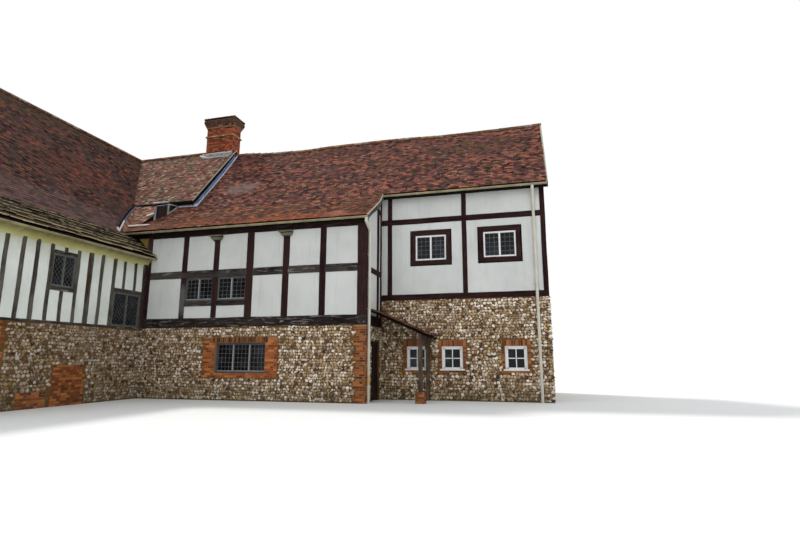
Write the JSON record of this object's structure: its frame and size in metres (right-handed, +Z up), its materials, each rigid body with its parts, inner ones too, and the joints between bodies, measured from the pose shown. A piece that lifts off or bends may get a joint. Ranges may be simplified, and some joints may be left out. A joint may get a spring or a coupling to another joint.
{
  "type": "half timbered house with a long wing",
  "caption": "House of plastered timber framing on flint ground walls, with a jutting range, a long wing, tiled roofs, stone eaves, a brick stack and a lean-to porch.",
  "frame": {"origin": "Inner corner of the two fronts at ground level, where the main front's outer face meets the wing's outer face.", "axes": "+X runs along the main front away from the wing, +Y goes into the house towards the back, +Z is up."},
  "size_m": [24.585, 14.93, 12.7],
  "materials": {
    "front_flint_wall": "knapped and rough flint in lime mortar",
    "recess_flint_wall": "knapped and rough flint in lime mortar",
    "side_flint_walls": "knapped and rough flint in lime mortar",
    "rear_flint_wall": "knapped and rough flint in lime mortar",
    "wing_side_flint_walls": "knapped and rough flint in lime mortar",
    "wing_end_flint_walls": "knapped and rough flint in lime mortar",
    "front_brickwork": "old red brick with lime joints",
    "recess_brickwork": "old red brick with lime joints",
    "wing_brickwork": "old red brick with lime joints",
    "front_beams": "dark weathered oak",
    "front_posts": "dark weathered oak",
    "front_plaster_panels": "limewashed plaster, slightly uneven",
    "post_brackets": "dark weathered oak",
    "side_timber_frames": "dark weathered oak",
    "side_plaster_panels": "limewashed plaster, slightly uneven",
    "recess_timber_frame": "dark weathered oak",
    "recess_plaster_panels": "limewashed plaster, slightly uneven",
    "rear_timber_frame": "dark weathered oak",
    "rear_plaster_panels": "limewashed plaster, slightly uneven",
    "wing_side_beams": "dark weathered oak",
    "wing_side_studs": "dark weathered oak",
    "wing_side_plaster_panels": "limewashed plaster, slightly uneven",
    "wing_end_timber_frames": "dark weathered oak",
    "wing_end_plaster_panels": "limewashed plaster, slightly uneven",
    "wing_coved_eaves": "limewashed plaster, slightly uneven",
    "outshot_roof": "old clay tiles with lichen",
    "valley_roof": "old clay tiles with lichen",
    "main_roof_front": "old clay tiles with lichen",
    "main_roof_rear": "old clay tiles with lichen",
    "raised_roof_front": "old clay tiles with lichen",
    "raised_roof_rear": "old clay tiles with lichen",
    "raised_roof_boards": "dark weathered oak",
    "wing_roof_east": "old clay tiles with lichen",
    "wing_roof_west": "old clay tiles with lichen",
    "wing_stone_eaves": "mossy sandstone slabs",
    "ridge_tiles": "old clay tiles with lichen",
    "bargeboards": "dark weathered oak",
    "lead_flashings": "weathered lead",
    "roof_hatch": "dark weathered oak",
    "chimney_stack": "old red brick with lime joints",
    "chimney_top": "old red brick with lime joints",
    "gutters": "old cream paint with moss",
    "downpipes": "old cream paint with moss",
    "front_windows": "weathered grey oak",
    "wing_windows": "weathered grey oak",
    "recess_windows": "white paint",
    "rear_windows": "white paint",
    "window_glass": "old leaded glass, dark from outside",
    "porch_posts": "dark weathered oak",
    "porch_plinths": "old red brick with lime joints",
    "porch_roof": "old clay tiles with lichen",
    "porch_door": "dark weathered oak",
    "ground_floor": "mossy sandstone slabs",
    "upper_floor": "dark weathered oak"
  },
  "bodies": {
    "root": {"front_flint_wall": "front_flint_wall", "recess_flint_wall": "recess_flint_wall", "side_flint_walls": "side_flint_walls", "rear_flint_wall": "rear_flint_wall", "wing_side_flint_walls": "wing_side_flint_walls", "wing_end_flint_walls": "wing_end_flint_walls", "front_brickwork": "front_brickwork", "recess_brickwork": "recess_brickwork", "wing_brickwork": "wing_brickwork", "front_beams": "front_beams", "front_posts": "front_posts", "front_plaster_panels": "front_plaster_panels", "post_brackets": "post_brackets", "side_timber_frames": "side_timber_frames", "side_plaster_panels": "side_plaster_panels", "recess_timber_frame": "recess_timber_frame", "recess_plaster_panels": "recess_plaster_panels", "rear_timber_frame": "rear_timber_frame", "rear_plaster_panels": "rear_plaster_panels", "wing_side_beams": "wing_side_beams", "wing_side_studs": "wing_side_studs", "wing_side_plaster_panels": "wing_side_plaster_panels", "wing_end_timber_frames": "wing_end_timber_frames", "wing_end_plaster_panels": "wing_end_plaster_panels", "wing_coved_eaves": "wing_coved_eaves", "outshot_roof": "outshot_roof", "valley_roof": "valley_roof", "main_roof_front": "main_roof_front", "main_roof_rear": "main_roof_rear", "raised_roof_front": "raised_roof_front", "raised_roof_rear": "raised_roof_rear", "raised_roof_boards": "raised_roof_boards", "wing_roof_east": "wing_roof_east", "wing_roof_west": "wing_roof_west", "wing_stone_eaves": "wing_stone_eaves", "ridge_tiles": "ridge_tiles", "bargeboards": "bargeboards", "lead_flashings": "lead_flashings", "roof_hatch": "roof_hatch", "chimney_stack": "chimney_stack", "chimney_top": "chimney_top", "gutters": "gutters", "downpipes": "downpipes", "front_windows": "front_windows", "wing_windows": "wing_windows", "recess_windows": "recess_windows", "rear_windows": "rear_windows", "window_glass": "window_glass", "porch_posts": "porch_posts", "porch_plinths": "porch_plinths", "porch_roof": "porch_roof", "porch_door": "porch_door", "ground_floor": "ground_floor", "upper_floor": "upper_floor"}
  },
  "joints": []
}
